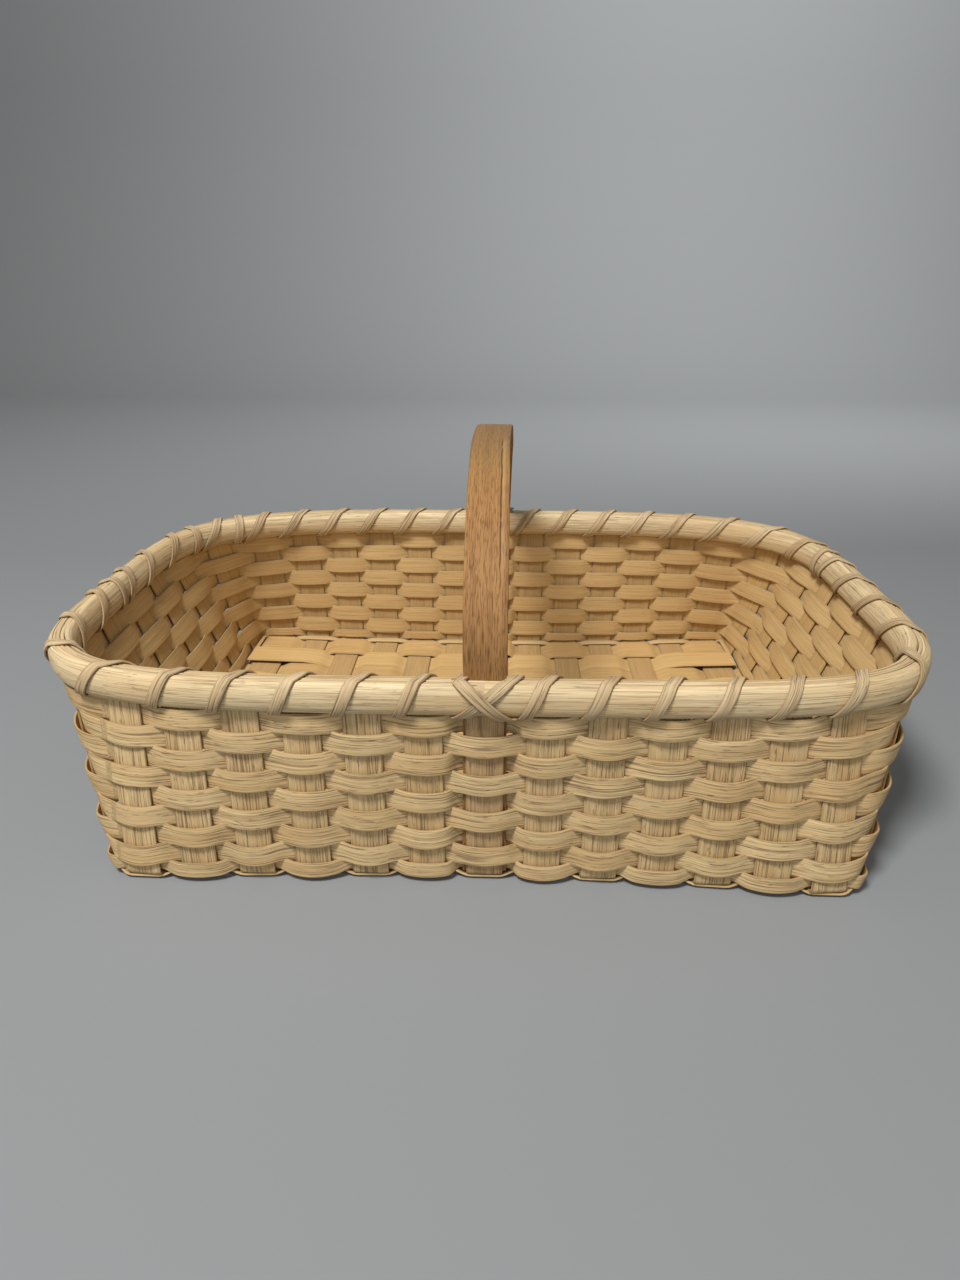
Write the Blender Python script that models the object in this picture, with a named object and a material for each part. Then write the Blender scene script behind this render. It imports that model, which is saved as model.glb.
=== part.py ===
"""A split-reed market basket with a bent oak handle, as an assembly of its separate strips.

Units are metres, +Z is up, and the basket stands on z = 0 with its centre over the origin. Its long
side runs along X. Thirteen cross stakes run front to back and up both long walls, and seven lengthwise
stakes run left to right and up the end walls. Between the lengthwise stakes lie six floor fillers.
Nine rows of reed go round the walls, over one stake and under the next, above a narrow locking row at
the bend of the floor. Two half-round bands clamp the stake tops and are lashed round with thin reed.
"""

import bpy
import bmesh
import numpy as np

# Counts
CROSS_STAKES = 13
LONG_STAKES = 7
ROWS = 9

# Reed strips
STAKE_WIDTH = 0.0159
STAKE_THICKNESS = 0.0012
FILLER_WIDTH = 0.0177
WEAVER_WIDTH = 0.0086
WEAVER_THICKNESS = 0.0011
LOCK_WIDTH = 0.0038
LOCK_END_WIDTH = 0.0022     # the locking row is pulled narrow along the end walls
LOCK_EASE = 0.0005          # it rides up a little on the curve of the bend
LOCK_CORNER = 0.24          # at the corners of the floor it has this share of its width and inset
LOCK_CLIMB = 0.0012         # and climbs over the long stake beside the corner
LASH_WIDTH = 0.0048
LASH_THICKNESS = 0.0010
GAP = 0.0003                # clearance between strips that touch
OVERHANG = 0.0008           # how far a strip runs level past the edge of what it crosses
TWIST_EASE = 0.0006         # more room where a stake twists near a corner, times the twist

# Spacing
CROSS_PITCH = 0.0250
STRIP_ROOM = 0.00065        # between a long stake and the floor filler beside it
LONG_PITCH_FLOOR = STAKE_WIDTH + FILLER_WIDTH + 2 * STRIP_ROOM
PITCH_CLOSING = 0.0053      # how much closer together the long stakes stand at the rim
LONG_PITCH_RIM = LONG_PITCH_FLOOR - PITCH_CLOSING
END_ROOM = 0.0070           # from the edge of the last cross stake to the end wall
SIDE_ROOM = 0.0073          # from the edge of the last long stake to the long wall
ROW_PITCH = 0.0090
LOWEST_EDGE = 0.0009        # the lowest row hangs over the outside of the bend

# Shape of the walls
BEND_RADIUS = 0.0030
END_FLARE = 0.0290          # how much longer each end is at the rim than at the floor
SIDE_FLARE = -0.0022        # the handle draws the long walls in a little
FLOOR_SQUARENESS = 16.0     # superellipse exponent of the outline at the floor
RIM_SQUARENESS = 4.6        # and at the rim

# Rim
BAND_HEIGHT = 0.0140
BAND_THICKNESS = 0.0036
BAND_SECTIONS = 56
FILLER_STRAND_SIZE = 0.0030
DOUBLE_LASHED_RIGHT = (5,)          # gaps at the ends that hold two turns of the lashing,
DOUBLE_LASHED_LEFT = (1, 2, 5)      # counted from the front corner and from the back corner

# Handle
HANDLE_TOP = 0.1745
HANDLE_FOOT_WIDTH = 0.0193
HANDLE_GRIP_WIDTH = 0.0174
HANDLE_FOOT_THICKNESS = 0.0016
HANDLE_GRIP_THICKNESS = 0.0055
HANDLE_CHAMFER = 0.0004
ARCH_STEPS = 11

# Levels that follow from the sizes above
FLOOR_STEP = STAKE_THICKNESS + GAP
FLOOR_LEVEL = FLOOR_STEP + STAKE_THICKNESS / 2
BEND_TOP = FLOOR_LEVEL + BEND_RADIUS
WEAVE_STEP = STAKE_THICKNESS / 2 + GAP + WEAVER_THICKNESS / 2
LEG_FACE = STAKE_THICKNESS / 2 + GAP
LEG_BACK = LEG_FACE + HANDLE_FOOT_THICKNESS
LOWEST_INSIDE = BEND_TOP - GAP / 2
TOP_ROW_EDGE = LOWEST_EDGE + (ROWS - 1) * ROW_PITCH + WEAVER_WIDTH
LOCK_UNDER = FLOOR_LEVEL - STAKE_THICKNESS / 2 - GAP - WEAVER_THICKNESS / 2
LOCK_OVER = FLOOR_LEVEL + STAKE_THICKNESS / 2 + GAP + WEAVER_THICKNESS / 2 + LOCK_EASE
LOCK_INSET = BEND_RADIUS * 0.45
RIM_BASE = TOP_ROW_EDGE + LASH_THICKNESS + 2 * GAP
RIM_MIDDLE = RIM_BASE + BAND_HEIGHT / 2
RIM_TOP = RIM_BASE + BAND_HEIGHT
STAKE_TOP = RIM_TOP - FILLER_STRAND_SIZE - 3 * GAP
OUTER_SEAT = WEAVE_STEP + WEAVER_THICKNESS / 2 + GAP
INNER_SEAT = LEG_BACK + GAP
LAST_CROSS = (CROSS_STAKES - 1) // 2
LAST_LONG = (LONG_STAKES - 1) // 2
FLOOR_REACH = LAST_CROSS * CROSS_PITCH + STAKE_WIDTH / 2
BASE_HALF_LENGTH = FLOOR_REACH + END_ROOM
BASE_HALF_WIDTH = LAST_LONG * LONG_PITCH_FLOOR + STAKE_WIDTH / 2 + SIDE_ROOM
# The lashing narrows to a neck where it is pulled through the wall. Two necks pass beside the handle.
LASH_NECK = (CROSS_PITCH - (STAKE_WIDTH + HANDLE_FOOT_WIDTH) / 2 - 4 * GAP) / 2
NECK_IN_GAP = (CROSS_PITCH - STAKE_WIDTH) / 2 - GAP - LASH_NECK / 2

# Colour and roughness of each kind of piece
LOOKS = {
    "cross_stake": ((0.72, 0.56, 0.34), 0.72),
    "long_stake": ((0.71, 0.55, 0.33), 0.72),
    "floor_filler": ((0.68, 0.51, 0.29), 0.72),
    "weaver": ((0.74, 0.58, 0.36), 0.70),
    "locking_row": ((0.77, 0.63, 0.41), 0.70),
    "rim_band": ((0.76, 0.64, 0.43), 0.62),
    "rim_filler": ((0.70, 0.57, 0.36), 0.75),
    "lashing": ((0.78, 0.66, 0.46), 0.60),
    "oak": ((0.42, 0.22, 0.12), 0.50),
}


def clear_scene():
    for obj in list(bpy.data.objects):
        bpy.data.objects.remove(obj, do_unlink=True)


def material(name, colour, roughness):
    made = bpy.data.materials.new(name)
    made.use_nodes = True
    shader = made.node_tree.nodes["Principled BSDF"]
    shader.inputs["Base Color"].default_value = (*colour, 1.0)
    shader.inputs["Roughness"].default_value = roughness
    shader.inputs["Metallic"].default_value = 0.0
    return made


def loft(name, sections, surface, closed=False, smooth=False):
    """One solid through sections that all have as many corners. A closed loft is a ring."""
    mesh = bmesh.new()
    rings = [[mesh.verts.new(corner) for corner in section] for section in sections]
    pairs = list(zip(rings, rings[1:]))
    if closed:
        pairs.append((rings[-1], rings[0]))
    for first, second in pairs:
        for i in range(len(first)):
            j = (i + 1) % len(first)
            mesh.faces.new((first[i], first[j], second[j], second[i]))
    if not closed:
        mesh.faces.new(rings[0])
        mesh.faces.new(rings[-1])
    bmesh.ops.recalc_face_normals(mesh, faces=mesh.faces)
    bmesh.ops.triangulate(mesh, faces=mesh.faces)
    data = bpy.data.meshes.new(name)
    mesh.to_mesh(data)
    mesh.free()
    data.materials.append(surface)
    if smooth:
        data.shade_smooth()
        data.set_sharp_from_angle(angle=np.radians(40))
    obj = bpy.data.objects.new(name, data)
    bpy.context.scene.collection.objects.link(obj)
    return obj


def strip_section(centre, across, through, width, thickness):
    """The four corners of a flat strip cut square: width along across, thickness along through."""
    a = np.asarray(across) * width / 2
    t = np.asarray(through) * thickness / 2
    return [centre - a - t, centre + a - t, centre + a + t, centre - a + t]


def wall_share(z):
    """0 at the floor, 1 at the lower edge of the rim."""
    return max(0.0, (z - FLOOR_LEVEL) / (RIM_BASE - FLOOR_LEVEL))


def bend_inset(z):
    """How far the wall has curved in at a height inside the bend of the floor."""
    above = (z - FLOOR_LEVEL) / BEND_RADIUS
    if above >= 1.0:
        return 0.0
    return BEND_RADIUS * (1 - np.sqrt(max(0.0, 1 - (1 - above) ** 2)))


def outline(z):
    """Half-length, half-width and exponent of the wall's outline at a height."""
    share = wall_share(z)
    inset = bend_inset(z)
    exponent = 1 / (1 / FLOOR_SQUARENESS + (1 / RIM_SQUARENESS - 1 / FLOOR_SQUARENESS) * share)
    return (BASE_HALF_LENGTH + END_FLARE * share - inset,
            BASE_HALF_WIDTH + SIDE_FLARE * share - inset, exponent)


def superellipse(value, half, other_half, exponent):
    """The other coordinate of a point of the outline, where one coordinate is value."""
    return other_half * max(0.0, 1 - abs(value / half) ** exponent) ** (1 / exponent)


def outside(x, y, z):
    """Negative inside the wall's surface, positive outside it."""
    length, width, exponent = outline(z)
    return abs(x / length) ** exponent + abs(y / width) ** exponent - 1


def plan_normal(x, y, z):
    length, width, exponent = outline(z)
    slope = np.array([np.sign(x) * abs(x / length) ** (exponent - 1) / length,
                      np.sign(y) * abs(y / width) ** (exponent - 1) / width, 0.0])
    return slope / np.linalg.norm(slope)


def on_wall(x, y, z, normal):
    """The point of the wall at height z that lies from (x, y) along a level normal."""
    low, high = -0.05, 0.05
    for _ in range(40):
        middle = (low + high) / 2
        if outside(x + normal[0] * middle, y + normal[1] * middle, z) < 0:
            low = middle
        else:
            high = middle
    return np.array([x + normal[0] * low, y + normal[1] * low, z])


def wall_frame(x, y, z, reach):
    """Centre, outward direction, slope direction and level direction of the wall over z - reach to z + reach."""
    normal = plan_normal(x, y, z)
    lower = on_wall(x, y, z - reach, normal)
    upper = on_wall(x, y, z + reach, normal)
    up = (upper - lower) / np.linalg.norm(upper - lower)
    along = np.cross([0.0, 0.0, 1.0], normal)
    out = np.cross(along, up)
    return (lower + upper) / 2, out, up, along


class Loop:
    """The wall's outline at one height, walked anticlockwise from the middle of the front."""

    def __init__(self, z):
        self.z = z
        length, width, exponent = outline(z)
        corner = 0.5 ** (1 / exponent)
        xs = np.linspace(0, length * corner, 120)
        ys = np.linspace(width * corner, 0, 120)
        quarter = [(x, superellipse(x, length, width, exponent)) for x in xs]
        quarter += [(superellipse(y, width, length, exponent), y) for y in ys[1:]]
        quarter = np.array(quarter)
        front_right = quarter * (1, -1)
        back_right = (quarter * (1, 1))[::-1]
        back_left = quarter * (-1, 1)
        front_left = (quarter * (-1, -1))[::-1]
        self.points = np.concatenate([front_right, back_right[1:], back_left[1:], front_left[1:]])
        steps = np.linalg.norm(np.diff(self.points, axis=0), axis=1)
        self.lengths = np.concatenate([[0.0], np.cumsum(steps)])
        self.total = self.lengths[-1]

    def at(self, place):
        place = place % self.total
        return (np.interp(place, self.lengths, self.points[:, 0]),
                np.interp(place, self.lengths, self.points[:, 1]))

    def place_of(self, x, y):
        start = self.points[:-1]
        step = self.points[1:] - start
        share = ((np.array([x, y]) - start) * step).sum(1) / (step ** 2).sum(1)
        near = start + step * np.clip(share, 0, 1)[:, None]
        best = np.argmin(((near - (x, y)) ** 2).sum(1))
        return self.lengths[best] + np.linalg.norm(near[best] - start[best])


class WallStake:
    """The part of a stake that stands in one wall."""

    def __init__(self, crosses, index, side):
        """Cross stake index at the front (side -1) or back (1), or lengthwise stake index at the left or right."""
        self.crosses, self.index, self.side = crosses, index, side
        self.number = index if crosses else LAST_CROSS + 1 + LAST_LONG - index
        self.spans = {0: 6, 1: 6, 2: 2}.get((LAST_CROSS if crosses else LAST_LONG) - abs(index), 1)
        foot, top = plan_normal(*self.at(BEND_TOP), BEND_TOP), plan_normal(*self.at(STAKE_TOP), STAKE_TOP)
        self.ease = TWIST_EASE * np.linalg.norm(top - foot)

    def at(self, z):
        length, width, exponent = outline(z)
        if self.crosses:
            x = self.index * CROSS_PITCH
            return x, self.side * superellipse(x, length, width, exponent)
        y = self.index * (LONG_PITCH_FLOOR + (LONG_PITCH_RIM - LONG_PITCH_FLOOR) * wall_share(z))
        return self.side * superellipse(y, width, length, exponent), y

    def sections(self):
        """Sections from the bend to the top."""
        found = []
        foot = np.array([*self.at(BEND_TOP), FLOOR_LEVEL])
        level = plan_normal(*self.at(BEND_TOP), BEND_TOP)
        along = np.cross([0.0, 0.0, 1.0], level)
        for angle in np.radians([2, 45, 86]):
            rise = np.array([0.0, 0.0, BEND_RADIUS * (1 - np.cos(angle))])
            centre = foot - level * BEND_RADIUS * (1 - np.sin(angle)) + rise
            out = level * np.sin(angle) - np.array([0.0, 0.0, np.cos(angle)])
            found.append(strip_section(centre, along, out, STAKE_WIDTH, STAKE_THICKNESS))
        for span in range(1, self.spans + 1):
            z = BEND_TOP + (STAKE_TOP - BEND_TOP) * span / self.spans
            centre, out, _, along = wall_frame(*self.at(z), z, WEAVER_WIDTH / 4)
            found.append(strip_section(centre, along, out, STAKE_WIDTH, STAKE_THICKNESS))
        return found


def stakes_round():
    """Every stake in the walls, anticlockwise from the left of the front.

    A row passes outside a stake where the row's number plus the stake's number is even.
    """
    crossed = range(-LAST_CROSS, LAST_CROSS + 1)
    ended = range(-LAST_LONG, LAST_LONG + 1)
    found = [WallStake(True, k, -1) for k in crossed]
    found += [WallStake(False, j, 1) for j in ended]
    found += [WallStake(True, k, 1) for k in reversed(crossed)]
    found += [WallStake(False, j, -1) for j in reversed(ended)]
    return found


def before_corner(index):
    """Whether a corner follows this stake in the order of stakes_round."""
    ends = (0, CROSS_STAKES, CROSS_STAKES + LONG_STAKES, 2 * CROSS_STAKES + LONG_STAKES,
            2 * (CROSS_STAKES + LONG_STAKES))
    return index + 1 in ends


def edges_frame(x, y, low, high):
    """Centre, outward, upward and level direction, and width, of a strip between two heights of the wall."""
    straight = max(low, BEND_TOP)
    centre, out, up, along = wall_frame(x, y, (straight + high) / 2, (high - straight) / 2)
    centre = centre + up * ((low + high) / 2 - centre[2]) / up[2]
    return centre, out, up, along, (high - low) / up[2]


def wall_row(name, row, surface):
    """A ring of reed that weaves out and in round the stakes at one height."""
    low = LOWEST_EDGE + (ROWS - row) * ROW_PITCH
    high = low + WEAVER_WIDTH
    stakes = stakes_round()
    passes = []
    for stake in stakes:
        offset, edge, half = WEAVE_STEP + stake.ease, low, STAKE_WIDTH / 2
        if (row + stake.number) % 2 == 1:
            offset, edge = -offset, max(low, LOWEST_INSIDE)
            if stake.number == 0:
                offset -= LEG_BACK - STAKE_THICKNESS / 2
                half = HANDLE_FOOT_WIDTH / 2
        passes.append((offset, edge, half + OVERHANG))
    middle = (low + high) / 2
    loop = Loop(middle)
    corners = []
    for index, stake in enumerate(stakes):
        offset, edge, half = passes[index]
        centre, out, up, along, width = edges_frame(*stake.at(middle), edge, high)
        for side in (-1, 1):
            at = centre + out * offset + along * side * half
            corners.append(strip_section(at, up, out, width, WEAVER_THICKNESS))
        if before_corner(index):
            following = (index + 1) % len(stakes)
            start = loop.place_of(*stake.at(middle))
            free = (loop.place_of(*stakes[following].at(middle)) - start) % loop.total
            other = passes[following][1]
            edge = (min(edge, other) + 3 * max(edge, other)) / 4
            centre, out, up, along, width = edges_frame(*loop.at(start + free / 2), edge, high)
            at = centre + out * (offset + passes[following][0]) / 2
            corners.append(strip_section(at, up, out, width, WEAVER_THICKNESS))
    return loft(name, corners, surface, closed=True)


def locking_row(name, surface):
    """A flat ring round the edge of the floor, over one stake and under the next, where the stakes bend up."""
    stakes = stakes_round()
    passes = []
    for stake in stakes:
        under = (ROWS + 1 + stake.number) % 2 == 0
        width = LOCK_WIDTH if stake.crosses else LOCK_END_WIDTH
        inset = LOCK_INSET + width / 2
        if not under:
            inset += LOCK_EASE
        passes.append((width, inset, LOCK_UNDER if under else LOCK_OVER))
    loop = Loop(BEND_TOP)
    corners = []

    def add(point, level, width, inset, z):
        centre = np.array([point[0], point[1], z]) - level * inset
        corners.append(strip_section(centre, level, [0.0, 0.0, 1.0], width, WEAVER_THICKNESS))

    for index, stake in enumerate(stakes):
        x, y = stake.at(BEND_TOP)
        level = plan_normal(x, y, BEND_TOP)
        along = np.cross([0.0, 0.0, 1.0], level)
        width, inset, z = passes[index]
        for side in (-1, 1):
            spot = np.array([x, y, 0.0]) + along * side * (STAKE_WIDTH / 2 + OVERHANG)
            climbs = z == LOCK_OVER and before_corner(index if side > 0 else index - 1)
            add(spot, level, width, inset, z + LOCK_CLIMB if climbs else z)
        if before_corner(index):
            following = (index + 1) % len(stakes)
            start = loop.place_of(x, y)
            free = (loop.place_of(*stakes[following].at(BEND_TOP)) - start) % loop.total
            x, y = loop.at(start + free / 2)
            width, inset, z = (np.array(passes[index]) + passes[following]) / 2
            add((x, y), plan_normal(x, y, BEND_TOP), width * LOCK_CORNER, inset * LOCK_CORNER, z)
    return loft(name, corners, surface, closed=True)


def turned(sections):
    """The same sections with their corners in the other order, to join a wall on the far side."""
    return [[second, first, fourth, third] for first, second, third, fourth in sections]


def cross_stake(name, k, surface):
    """One stake: down the front wall, flat along the floor, and up the back wall."""
    front, back = WallStake(True, k, -1).sections(), WallStake(True, k, 1).sections()
    return loft(name, front[::-1] + turned(back), surface)


def floor_run(y, phase, width):
    """Sections of a strip along the floor, over a cross stake where its number plus phase is even."""
    across, through = np.array([0.0, -1.0, 0.0]), np.array([0.0, 0.0, -1.0])
    sections = []
    for k in range(-LAST_CROSS, LAST_CROSS + 1):
        over = (k + phase) % 2 == 0
        half = STAKE_WIDTH / 2 + OVERHANG
        level = FLOOR_LEVEL - FLOOR_STEP
        if over:
            level = FLOOR_LEVEL + FLOOR_STEP
            if k == 0:
                level += LEG_BACK - STAKE_THICKNESS / 2
                half = HANDLE_FOOT_WIDTH / 2 + OVERHANG
        for end in (-half, half):
            x = np.clip(k * CROSS_PITCH + end, -FLOOR_REACH, FLOOR_REACH)
            sections.append(strip_section(np.array([x, y, level]), across, through, width, STAKE_THICKNESS))
    return sections


def long_stake(name, j, surface):
    """One stake: down the left end wall, woven along the floor, and up the right end wall."""
    y = j * LONG_PITCH_FLOOR
    phase = LAST_LONG - j
    left, right = WallStake(False, j, -1).sections(), WallStake(False, j, 1).sections()
    floor = floor_run(y, phase, STAKE_WIDTH)
    return loft(name, left[::-1] + floor + turned(right), surface)


def floor_filler(name, j, surface):
    """A short strip woven along the floor between stakes j and j + 1."""
    y = (j + 0.5) * LONG_PITCH_FLOOR
    phase = LAST_LONG - j
    return loft(name, floor_run(y, phase, FILLER_WIDTH), surface)


def rim_places(loop, count):
    """Places evenly round the outline."""
    return [loop.total * i / count for i in range(count)]


def band_profile(side):
    """(out, up) corners of a half-round band whose flat face clamps the stakes."""
    seat = OUTER_SEAT if side > 0 else INNER_SEAT
    corners = [(side * seat, -BAND_HEIGHT / 2)]
    for angle in np.radians([-58, -20, 20, 58]):
        corners.append((side * (seat + BAND_THICKNESS * np.cos(angle)), BAND_HEIGHT / 2 * np.sin(angle)))
    corners.append((side * seat, BAND_HEIGHT / 2))
    return corners


def rim_ring(name, profile, surface, smooth=True):
    """A ring round the rim with a profile given as (out, up) corners from the rim's middle height."""
    loop = Loop(RIM_MIDDLE)
    sections = []
    for place in rim_places(loop, BAND_SECTIONS):
        x, y = loop.at(place)
        centre, out, up, _ = wall_frame(x, y, RIM_MIDDLE, BAND_HEIGHT / 2)
        sections.append([centre + out * o + up * u for o, u in profile])
    return loft(name, sections, surface, closed=True, smooth=smooth)


def filler_strand_profile():
    """Corners of the strand that fills the slot between the bands, on top of the stakes."""
    inner, outer = GAP - LEG_FACE, OUTER_SEAT - GAP
    top = BAND_HEIGHT / 2
    low = top - FILLER_STRAND_SIZE
    return [(inner, low), (outer, low), (outer, top), (inner, top)]


def lash_contour(side):
    """(out, up, width, through) of the lashing where it lies on one side of the rim, from the bottom up."""
    seat = OUTER_SEAT if side > 0 else INNER_SEAT
    under = BAND_HEIGHT / 2 + GAP + LASH_THICKNESS / 2
    foot = seat + BAND_THICKNESS * 0.62
    face = seat + BAND_THICKNESS + GAP + LASH_THICKNESS
    shoulder = BAND_HEIGHT * 0.30
    tilt = np.sqrt(0.5)
    return [(side * foot, -under, LASH_NECK, (side * 0.4, -0.9)),
            (side * face, -shoulder, LASH_WIDTH, (side * 0.92, -0.38)),
            (side * face, shoulder, LASH_WIDTH, (side * 0.92, 0.38)),
            (side * foot, under, LASH_WIDTH, (side * tilt, tilt))]


def lash_section(loop, place, out_by, up_by, width, through):
    x, y = loop.at(place)
    centre, out, up, along = wall_frame(x, y, RIM_MIDDLE, BAND_HEIGHT / 2)
    normal = out * through[0] + up * through[1]
    normal = normal / np.linalg.norm(normal)
    return strip_section(centre + out * out_by + up * up_by, along, normal, width, LASH_THICKNESS)


def gap_places(loop):
    """Places where the lashing goes through the wall, anticlockwise, each with the stakes beside it."""
    stakes = [(stake.number, loop.place_of(*stake.at(RIM_MIDDLE))) for stake in stakes_round()]
    right_ends = {CROSS_STAKES - 1 + gap for gap in DOUBLE_LASHED_RIGHT}
    left_ends = {2 * CROSS_STAKES + LONG_STAKES - 1 + gap for gap in DOUBLE_LASHED_LEFT}
    places = []
    for index, (number, place) in enumerate(stakes):
        next_number, next_place = stakes[(index + 1) % len(stakes)]
        free = (next_place - place) % loop.total
        middle = place + free / 2
        if index in right_ends | left_ends:
            places += [(middle - LASH_NECK, False), (middle + LASH_NECK, False)]
        elif number == 0:
            places.append((middle + NECK_IN_GAP, True))
        elif next_number == 0:
            places.append((next_place - HANDLE_FOOT_WIDTH / 2 - 2 * GAP - LASH_NECK / 2, False))
        else:
            places.append((middle + NECK_IN_GAP - GAP, False))
    return places


def rim_lashing(name, surface):
    """The long lashing, one helix round both bands that goes through the wall in every gap."""
    loop = Loop(RIM_MIDDLE)
    gaps = gap_places(loop)
    up_outer = lash_contour(1)
    down_inner = lash_contour(-1)[::-1]
    sections = []
    for index, (start, _) in enumerate(gaps):
        end, passes_handle = gaps[(index + 1) % len(gaps)]
        span = (end - start) % loop.total
        if passes_handle:
            top = HANDLE_FOOT_WIDTH / 2 + LASH_WIDTH / 2 + 2 * GAP
            crossing = 1 - (NECK_IN_GAP + CROSS_PITCH / 2 - top) / span
            shares = [0.0, crossing * 0.36, crossing * 0.68, crossing, crossing + 0.02, 0.93, 0.96, 1.0]
        else:
            shares = [0.0, 0.14, 0.26, 0.38, 0.48, 0.66, 0.84, 1.0]
        for share, (out_by, up_by, width, through) in zip(shares, up_outer + down_inner):
            sections.append(lash_section(loop, start + span * share, out_by, up_by, width, through))
    return loft(name, sections, surface, closed=True)


def handle_lashing(name, side, surface):
    """The tie that crosses the helix over a leg of the handle, a closed turn round both bands."""
    loop = Loop(RIM_MIDDLE)
    leg = loop.place_of(*WallStake(True, 0, side).at(RIM_MIDDLE))
    low = HANDLE_FOOT_WIDTH / 2 + GAP + LASH_NECK / 2
    high = -(HANDLE_FOOT_WIDTH / 2 + LASH_WIDTH / 2 + 2 * GAP)
    clear = LASH_THICKNESS + GAP
    sections = []
    for index, (out_by, up_by, width, through) in enumerate(lash_contour(1)):
        place = low + (high - low) * (0.0, 0.33, 0.67, 1.0)[index]
        lift = clear if index in (1, 2) else 0.0
        sections.append(lash_section(loop, leg + place, out_by + lift, up_by, width, through))
    for index, (out_by, up_by, width, through) in enumerate(lash_contour(-1)[::-1]):
        place = high + (low - high) * (0.0, 0.33, 0.67, 1.0)[index]
        sections.append(lash_section(loop, leg + place, out_by, up_by, width, through))
    return loft(name, sections, surface, closed=True)


def handle_half():
    """(y, z, inward y, inward z, thickness, width) of the hoop's outer face, from the floor to the top."""
    floor_face = FLOOR_LEVEL + LEG_FACE
    radius = BEND_RADIUS - LEG_FACE
    wall_half = outline(FLOOR_LEVEL + BEND_RADIUS)[1] - LEG_FACE
    foot = HANDLE_FOOT_THICKNESS
    points = [(0.0, floor_face, 0.0, 1.0, foot, HANDLE_FOOT_WIDTH)]
    for angle in np.radians([0, 45, 90]):
        y = -(wall_half - radius + radius * np.sin(angle))
        z = floor_face + radius * (1 - np.cos(angle))
        points.append((y, z, np.sin(angle), np.cos(angle), foot, HANDLE_FOOT_WIDTH))
    for z in (TOP_ROW_EDGE, RIM_TOP + LASH_THICKNESS + 2 * GAP):
        y = -(outline(z)[1] - LEG_FACE)
        points.append((y, z, 1.0, 0.0, foot, HANDLE_FOOT_WIDTH))
    spring = RIM_TOP + LASH_THICKNESS + HANDLE_GRIP_THICKNESS
    half = outline(RIM_TOP)[1] - LEG_FACE
    rise = HANDLE_TOP - spring
    for step in range(ARCH_STEPS + 1):
        angle = np.radians(90 * step / ARCH_STEPS)
        inward = np.array([rise * np.cos(angle), -half * np.sin(angle)])
        inward = inward / np.linalg.norm(inward)
        width = HANDLE_FOOT_WIDTH + (HANDLE_GRIP_WIDTH - HANDLE_FOOT_WIDTH) * min(1.0, 0.55 + step / ARCH_STEPS)
        points.append((-half * np.cos(angle), spring + rise * np.sin(angle), inward[0], inward[1],
                       HANDLE_GRIP_THICKNESS, width))
    return points


def handle(name, surface):
    """The oak hoop: shaved thin where it is woven in, full above the rim, its edges chamfered."""
    front = handle_half()
    back = [(-y, z, -iy, iz, thick, width) for y, z, iy, iz, thick, width in front]
    sections = []
    for y, z, iy, iz, thick, width in front[:-1] + back[:0:-1]:
        half, cut = width / 2, HANDLE_CHAMFER
        face = [(-half + cut, 0), (half - cut, 0), (half, cut), (half, thick - cut),
                (half - cut, thick), (-half + cut, thick), (-half, thick - cut), (-half, cut)]
        sections.append([(across, y + iy * depth, z + iz * depth) for across, depth in face])
    return loft(name, sections, surface, closed=True, smooth=True)


def main():
    clear_scene()
    made = {name: material(name, *look) for name, look in LOOKS.items()}

    for number, k in enumerate(range(-LAST_CROSS, LAST_CROSS + 1), start=1):
        cross_stake(f"cross_stake_{number:02d}", k, made["cross_stake"])
    for number, j in enumerate(range(-LAST_LONG, LAST_LONG + 1), start=1):
        long_stake(f"long_stake_{number}", j, made["long_stake"])
    for number, j in enumerate(range(-LAST_LONG, LAST_LONG), start=1):
        floor_filler(f"floor_filler_{number}", j, made["floor_filler"])

    locking_row("locking_row", made["locking_row"])
    for row in range(1, ROWS + 1):
        wall_row(f"weaver_row_{row}", row, made["weaver"])

    rim_ring("rim_band_outer", band_profile(1), made["rim_band"])
    rim_ring("rim_band_inner", band_profile(-1), made["rim_band"])
    rim_ring("rim_filler", filler_strand_profile(), made["rim_filler"], smooth=False)
    rim_lashing("rim_lashing", made["lashing"])
    handle_lashing("handle_tie_front", -1, made["lashing"])
    handle_lashing("handle_tie_back", 1, made["lashing"])
    handle("handle", made["oak"])


main()
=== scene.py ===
"""A split-reed market basket with a bent oak handle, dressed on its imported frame.

Lengths are in metres. The sections follow the way the basket is made: the cross stakes are laid out,
the long stakes and the floor fillers are woven through them, the handle is set on the middle stake, the
walls are woven from the bend upwards, and the rim is clamped on, filled and lashed.
"""
import math
import bpy
import numpy as np
from mathutils import Matrix, Vector


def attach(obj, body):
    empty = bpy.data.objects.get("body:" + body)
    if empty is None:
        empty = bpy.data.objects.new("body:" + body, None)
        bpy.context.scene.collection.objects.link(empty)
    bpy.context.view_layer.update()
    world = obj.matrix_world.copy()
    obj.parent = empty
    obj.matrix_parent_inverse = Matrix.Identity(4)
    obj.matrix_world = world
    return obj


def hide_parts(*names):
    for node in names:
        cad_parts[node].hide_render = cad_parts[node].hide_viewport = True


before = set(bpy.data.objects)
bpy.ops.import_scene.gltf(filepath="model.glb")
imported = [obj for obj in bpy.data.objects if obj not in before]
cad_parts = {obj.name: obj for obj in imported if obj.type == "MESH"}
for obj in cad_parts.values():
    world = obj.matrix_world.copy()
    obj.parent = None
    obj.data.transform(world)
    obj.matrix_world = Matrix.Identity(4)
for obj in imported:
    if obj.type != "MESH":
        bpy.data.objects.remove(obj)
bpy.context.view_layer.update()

# Cross stakes
# Thirteen flat strips of split reed, each one piece from the front rim down, across the floor and up the
# back wall. They are soaked, laid side by side and bent up sharply at the edge of the floor.
REED = 0.0012               # thickness of the flat reed
CLEAR = 0.0003              # left between one strip and the next
STAKE_WIDTH = 0.0159
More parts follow.
